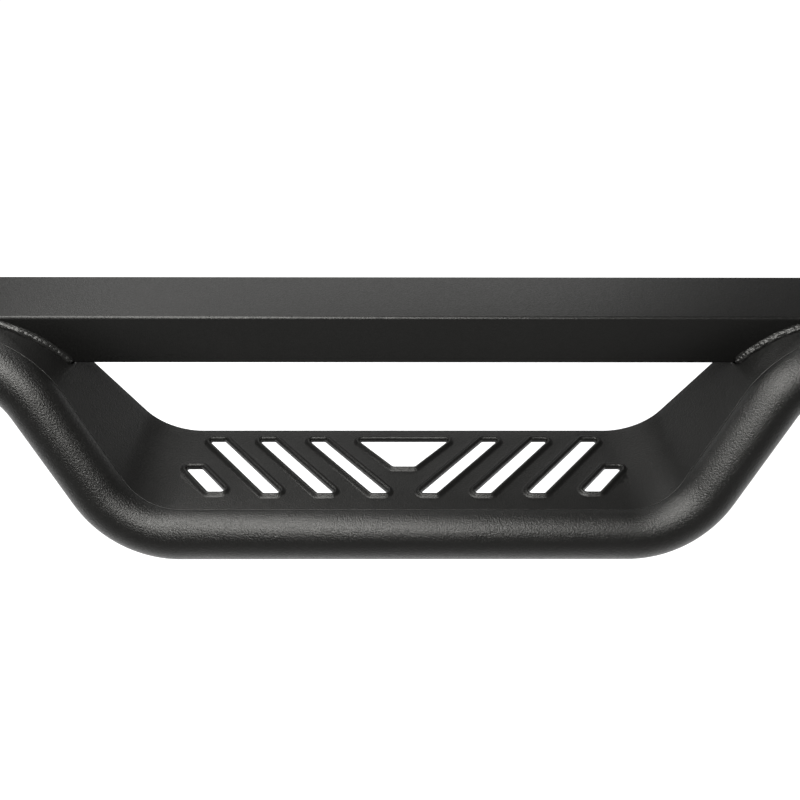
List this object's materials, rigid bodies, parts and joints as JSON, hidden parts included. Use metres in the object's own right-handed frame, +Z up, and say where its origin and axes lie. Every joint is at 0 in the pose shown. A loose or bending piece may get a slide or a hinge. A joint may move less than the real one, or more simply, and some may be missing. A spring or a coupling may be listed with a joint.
{
  "type": "running board",
  "caption": "Black steel running board: rectangular main tube with drop steps, each a bent round tube hoop around a slotted step plate, on bolt-on brackets.",
  "frame": {"origin": "centre of the middle bracket's two slotted bolt holes, on the bracket's vehicle-side face", "axes": "+X along the board towards the rear, +Y towards the vehicle, so -Y is the stepping side, +Z up"},
  "size_m": [2.108, 0.2425, 0.2842],
  "materials": {
    "tube_coat": "fine-textured black powder coat",
    "plate_coat": "fine-textured black powder coat on pressed sheet",
    "weld_coat": "black powder coat over rippled weld beads",
    "bracket_coat": "satin black powder coat",
    "cap_plastic": "moulded black plastic, lightly grained",
    "zinc_hardware": "zinc-plated steel"
  },
  "bodies": {
    "root": {"main_tube": "tube_coat", "front_end_cap": "cap_plastic", "rear_end_cap": "cap_plastic", "front_hoop_tube": "tube_coat", "front_hoop_discs": "tube_coat", "front_step_plate": "plate_coat", "front_plate_weld_fore": "weld_coat", "front_plate_weld_aft": "weld_coat", "front_hoop_weld_fore": "weld_coat", "front_hoop_weld_aft": "weld_coat", "front_stitch_welds": "weld_coat", "rear_hoop_tube": "tube_coat", "rear_hoop_discs": "tube_coat", "rear_step_plate": "plate_coat", "rear_plate_weld_fore": "weld_coat", "rear_plate_weld_aft": "weld_coat", "rear_hoop_weld_fore": "weld_coat", "rear_hoop_weld_aft": "weld_coat", "rear_stitch_welds": "weld_coat", "front_bracket": "bracket_coat", "front_rivet_nuts": "zinc_hardware", "front_flat_washers": "zinc_hardware", "front_lock_washers": "zinc_hardware", "front_bolts": "zinc_hardware", "middle_bracket": "bracket_coat", "middle_rivet_nuts": "zinc_hardware", "middle_flat_washers": "zinc_hardware", "middle_lock_washers": "zinc_hardware", "middle_bolts": "zinc_hardware", "rear_bracket": "bracket_coat", "rear_rivet_nuts": "zinc_hardware", "rear_flat_washers": "zinc_hardware", "rear_lock_washers": "zinc_hardware", "rear_bolts": "zinc_hardware"}
  },
  "joints": []
}
